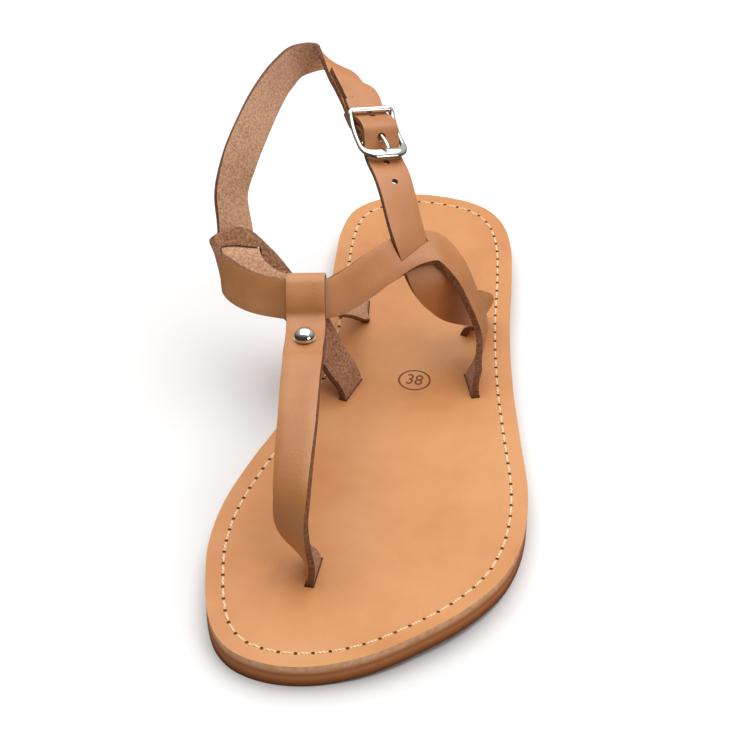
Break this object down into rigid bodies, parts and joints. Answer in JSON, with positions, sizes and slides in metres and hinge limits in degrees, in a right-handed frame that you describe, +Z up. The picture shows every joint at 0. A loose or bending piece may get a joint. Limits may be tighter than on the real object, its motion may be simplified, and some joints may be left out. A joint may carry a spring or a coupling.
{
  "type": "toe post sandal",
  "caption": "Flat leather toe post sandal: stitched layered sole, toe strap looped round an instep strap, and a buckled ankle strap threaded through slits.",
  "frame": {"origin": "on the floor under the sole, midway along its length, about under the middle of the heel's width", "axes": "+Z up, toe at -Y, heel at +Y, big toe side at -X"},
  "size_m": [0.1187, 0.25, 0.0863],
  "materials": {
    "outsole_leather": "burnished brown leather edge",
    "footbed_leather": "smooth light tan leather",
    "strap_leather": "tan grain leather with dark cut edges and a suede back",
    "nickel": "polished nickel plate"
  },
  "bodies": {
    "root": {"outsole": "outsole_leather", "footbed": "footbed_leather", "upper": "strap_leather", "ankle_strap": "strap_leather", "ankle_strap_holed": "strap_leather", "buckle_frame": "nickel", "buckle_prong": "nickel", "toe_rivet": "nickel", "ankle_rivet": "nickel"}
  },
  "joints": []
}
